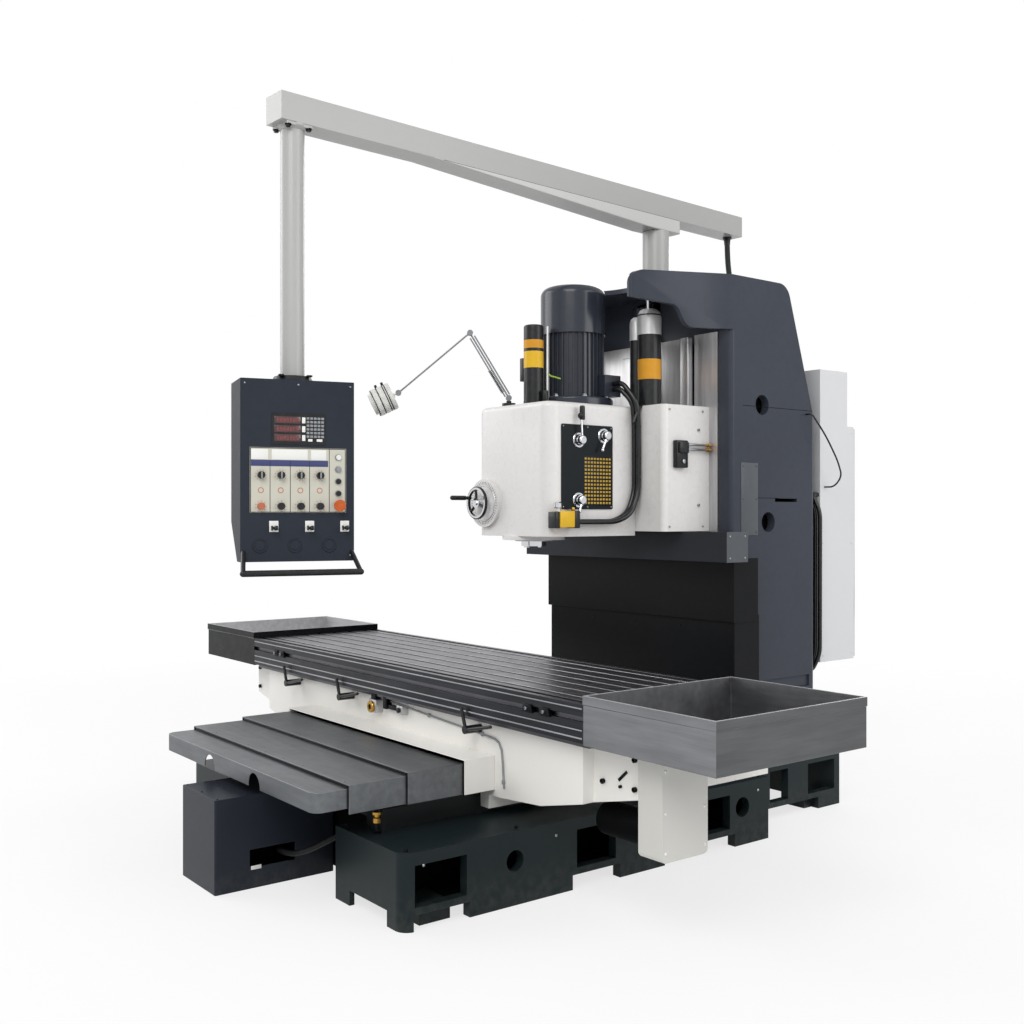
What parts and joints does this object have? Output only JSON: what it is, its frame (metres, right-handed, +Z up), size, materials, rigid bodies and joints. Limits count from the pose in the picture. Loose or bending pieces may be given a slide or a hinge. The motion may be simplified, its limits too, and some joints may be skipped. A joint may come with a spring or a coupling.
{
  "type": "bed type milling machine",
  "caption": "Bed type vertical milling machine with a slotted sliding table, saddle, column, geared head with spindle, telescopic covers, trays, lamp and a swinging control pendant.",
  "frame": {"origin": "centre of the foundation bolt pattern, on the floor", "axes": "+X to the right end of the table, +Y from the operator to the column, +Z up"},
  "size_m": [4.102, 3.6393, 3.323],
  "materials": {
    "dark_casting": "satin machine enamel, dark blue grey",
    "white_enamel": "gloss machine enamel, off-white",
    "grey_enamel": "satin paint, light grey",
    "black_enamel": "satin paint, black",
    "cover_steel": "brushed sheet steel",
    "dark_sheet": "charcoal painted sheet",
    "ground_steel": "ground cast iron",
    "polished_steel": "polished steel",
    "screw_steel": "ground screw steel",
    "motor_paint": "satin paint, dark grey",
    "pendant_paint": "fine textured paint, charcoal",
    "panel_cream": "printed panel, cream",
    "black_plastic": "moulded black plastic",
    "red_plastic": "moulded red plastic",
    "yellow_paint": "gloss paint, yellow",
    "black_rubber": "black rubber hose",
    "lamp_metal": "satin lamp arm"
  },
  "bodies": {
    "base": {"bed": "dark_casting", "coolant_tank": "dark_sheet", "coolant_hose": "black_rubber", "front_cover_fixed": "cover_steel", "y_feed_motor": "motor_paint", "column": "dark_casting", "column_guard": "black_enamel", "z_feed_motor": "motor_paint", "balance_rod": "polished_steel", "cabinet": "grey_enamel", "cabinet_conduits": "black_rubber", "arm_post": "grey_enamel", "arm_cable": "black_rubber"},
    "saddle": {"saddle": "white_enamel", "front_cover_rear": "white_enamel", "x_drive_housing": "white_enamel", "x_feed_motor": "motor_paint"},
    "table": {"table": "ground_steel", "right_tray": "cover_steel", "left_tray": "dark_sheet"},
    "head": {"head_carriage": "white_enamel", "head_box": "white_enamel", "gear_plate": "dark_sheet", "spindle_motor": "motor_paint", "drawbar_cylinder": "black_enamel", "balance_cylinder": "black_enamel", "valve_block": "yellow_paint", "head_conduits": "black_rubber", "apron": "black_enamel"},
    "pendant": {"pendant_box": "pendant_paint", "control_panel": "panel_cream"},
    "arm": {"arm_beam": "grey_enamel"},
    "y_screw": {"y_ball_screw": "screw_steel"},
    "z_screw": {"z_ball_screw": "screw_steel"},
    "x_screw": {"x_ball_screw": "screw_steel"},
    "cabinet_door": {"cabinet_door": "grey_enamel"},
    "cover_1": {"front_cover_middle_1": "cover_steel"},
    "cover_2": {"front_cover_middle_2": "cover_steel"},
    "middle_guard": {"middle_guard": "black_enamel"},
    "quill": {"quill": "screw_steel"},
    "spindle": {"spindle": "polished_steel"},
    "handwheel": {"handwheel": "polished_steel"},
    "clamp_lever_1": {"clamp_lever_1": "black_enamel"},
    "clamp_lever_2": {"clamp_lever_2": "black_enamel"},
    "clamp_lever_3": {"clamp_lever_3": "black_enamel"},
    "gear_lever_1": {"gear_lever_1": "polished_steel"},
    "gear_lever_2": {"gear_lever_2": "polished_steel"},
    "gear_lever_3": {"gear_lever_3": "polished_steel"},
    "lamp_swivel": {"lamp_swivel": "lamp_metal"},
    "lamp_lower_arm": {"lamp_lower_arm": "lamp_metal"},
    "lamp_forearm": {"lamp_forearm": "lamp_metal"},
    "lamp_head": {"lamp_head": "lamp_metal"},
    "selector_knob_1": {"selector_knob_1": "black_plastic"},
    "selector_knob_2": {"selector_knob_2": "black_plastic"},
    "selector_knob_3": {"selector_knob_3": "black_plastic"},
    "selector_knob_4": {"selector_knob_4": "black_plastic"},
    "stop_button": {"stop_button": "red_plastic"},
    "toggle_1": {"toggle_1": "black_plastic"},
    "toggle_2": {"toggle_2": "black_plastic"},
    "toggle_3": {"toggle_3": "black_plastic"}
  },
  "joints": [
    {"name": "cross_feed", "type": "slide", "parent": "base", "child": "saddle", "axis": [0, 1, 0], "range_m": [0, 0.65]},
    {"name": "cover_1_slide", "type": "slide", "parent": "base", "child": "cover_1", "axis": [0, 1, 0], "range_m": [0, 0.351]},
    {"name": "cover_2_slide", "type": "slide", "parent": "base", "child": "cover_2", "axis": [0, 1, 0], "range_m": [0, 0.571]},
    {"name": "table_feed", "type": "slide", "parent": "saddle", "child": "table", "axis": [1, 0, 0], "range_m": [-1, 1]},
    {"name": "head_feed", "type": "slide", "parent": "base", "child": "head", "axis": [0, 0, 1], "range_m": [-0.4, 0]},
    {"name": "middle_guard_slide", "type": "slide", "parent": "base", "child": "middle_guard", "axis": [0, 0, 1], "range_m": [-0.281, 0]},
    {"name": "quill_feed", "type": "slide", "parent": "head", "child": "quill", "axis": [0, 0, 1], "range_m": [-0.12, 0]},
    {"name": "spindle_turn", "type": "hinge", "parent": "quill", "child": "spindle", "pos_m": [0, -0.02, 1.38], "axis": [0, 0, 1], "continuous": true},
    {"name": "handwheel_turn", "type": "hinge", "parent": "head", "child": "handwheel", "pos_m": [-0.2, -0.233, 1.6], "axis": [0, -1, 0], "range_deg": [-2200, 40]},
    {"name": "y_screw_turn", "type": "hinge", "parent": "base", "child": "y_screw", "pos_m": [0, 0, 0.325], "axis": [0, 1, 0], "range_deg": [-100, 19700]},
    {"name": "x_screw_turn", "type": "hinge", "parent": "saddle", "child": "x_screw", "pos_m": [0, -0.695, 0.63], "axis": [1, 0, 0], "range_deg": [-30200, 30200]},
    {"name": "z_screw_turn", "type": "hinge", "parent": "base", "child": "z_screw", "pos_m": [0, 0.766, 1.7], "axis": [0, 0, 1], "range_deg": [-12100, 100]},
    {"name": "clamp_1", "type": "hinge", "parent": "saddle", "child": "clamp_lever_1", "pos_m": [-0.963, -0.85, 0.647], "axis": [0, 1, 0], "range_deg": [-40, 20]},
    {"name": "clamp_2", "type": "hinge", "parent": "saddle", "child": "clamp_lever_2", "pos_m": [-0.389, -0.85, 0.647], "axis": [0, 1, 0], "range_deg": [-40, 20]},
    {"name": "clamp_3", "type": "hinge", "parent": "saddle", "child": "clamp_lever_3", "pos_m": [0.68, -0.85, 0.647], "axis": [0, 1, 0], "range_deg": [-40, 20]},
    {"name": "gear_shift_1", "type": "hinge", "parent": "head", "child": "gear_lever_1", "pos_m": [0.3, 0.025, 1.908], "axis": [1, 0, 0], "range_deg": [-40, 40]},
    {"name": "gear_shift_2", "type": "hinge", "parent": "head", "child": "gear_lever_2", "pos_m": [0.3, 0.191, 1.935], "axis": [1, 0, 0], "range_deg": [-40, 40]},
    {"name": "gear_shift_3", "type": "hinge", "parent": "head", "child": "gear_lever_3", "pos_m": [0.3, 0.025, 1.612], "axis": [1, 0, 0], "range_deg": [0, 70]},
    {"name": "lamp_turn", "type": "hinge", "parent": "head", "child": "lamp_swivel", "pos_m": [-0.103, -0.101, 2.096], "axis": [0, 0, 1], "range_deg": [-60, 80]},
    {"name": "lamp_shoulder", "type": "hinge", "parent": "lamp_swivel", "child": "lamp_lower_arm", "pos_m": [-0.103, -0.101, 2.14], "axis": [0.8508, -0.5255, 0], "range_deg": [-20, 25]},
    {"name": "lamp_elbow", "type": "hinge", "parent": "lamp_lower_arm", "child": "lamp_forearm", "pos_m": [-0.20835, -0.27157, 2.47103], "axis": [0.8508, -0.5255, 0], "range_deg": [-30, 30]},
    {"name": "lamp_tilt", "type": "hinge", "parent": "lamp_forearm", "child": "lamp_head", "pos_m": [-0.40014, -0.58211, 2.15929], "axis": [0.8508, -0.5255, 0], "range_deg": [-35, 35]},
    {"name": "arm_swivel", "type": "hinge", "parent": "base", "child": "arm", "pos_m": [-0.043, 0.898, 3.15], "axis": [0, 0, 1], "range_deg": [-20, 20]},
    {"name": "pendant_swivel", "type": "hinge", "parent": "arm", "child": "pendant", "pos_m": [0.1033, -1.4274, 2.13], "axis": [0, 0, 1], "range_deg": [-110, 110]},
    {"name": "selector_1", "type": "hinge", "parent": "pendant", "child": "selector_knob_1", "pos_m": [0.18631, -1.61218, 1.705], "axis": [-0.9659, 0.2588, 0], "range_deg": [-135, 135]},
    {"name": "selector_2", "type": "hinge", "parent": "pendant", "child": "selector_knob_2", "pos_m": [0.20753, -1.53298, 1.705], "axis": [-0.9659, 0.2588, 0], "range_deg": [-135, 135]},
    {"name": "selector_3", "type": "hinge", "parent": "pendant", "child": "selector_knob_3", "pos_m": [0.22875, -1.45377, 1.705], "axis": [-0.9659, 0.2588, 0], "range_deg": [-135, 135]},
    {"name": "selector_4", "type": "hinge", "parent": "pendant", "child": "selector_knob_4", "pos_m": [0.24998, -1.37456, 1.705], "axis": [-0.9659, 0.2588, 0], "range_deg": [-135, 135]},
    {"name": "stop_press", "type": "slide", "parent": "pendant", "child": "stop_button", "axis": [-0.9659, 0.2588, 0], "range_m": [0, 0.006], "stiffness_N_per_m": 600},
    {"name": "toggle_1_tilt", "type": "hinge", "parent": "pendant", "child": "toggle_1", "pos_m": [0.20634, -1.56061, 1.485], "axis": [0.2588, 0.9659, 0], "range_deg": [-15, 15]},
    {"name": "toggle_2_tilt", "type": "hinge", "parent": "pendant", "child": "toggle_2", "pos_m": [0.24516, -1.41572, 1.485], "axis": [0.2588, 0.9659, 0], "range_deg": [-15, 15]},
    {"name": "toggle_3_tilt", "type": "hinge", "parent": "pendant", "child": "toggle_3", "pos_m": [0.28398, -1.27083, 1.485], "axis": [0.2588, 0.9659, 0], "range_deg": [-15, 15]},
    {"name": "cabinet_door_hinge", "type": "hinge", "parent": "base", "child": "cabinet_door", "pos_m": [-0.624, 1.8213, 1.381], "axis": [0, 0, 1], "range_deg": [0, 110]}
  ],
  "couplings": [
    {"joint": "cover_1_slide", "follows": "cross_feed", "ratio": 0.53846},
    {"joint": "cover_2_slide", "follows": "cross_feed", "ratio": 0.87692},
    {"joint": "middle_guard_slide", "follows": "head_feed", "ratio": 0.7},
    {"joint": "handwheel_turn", "follows": "quill_feed", "rad_per_m": 314.16},
    {"joint": "y_screw_turn", "follows": "cross_feed", "rad_per_m": 523.6},
    {"joint": "x_screw_turn", "follows": "table_feed", "rad_per_m": 523.6},
    {"joint": "z_screw_turn", "follows": "head_feed", "rad_per_m": 523.6}
  ]
}
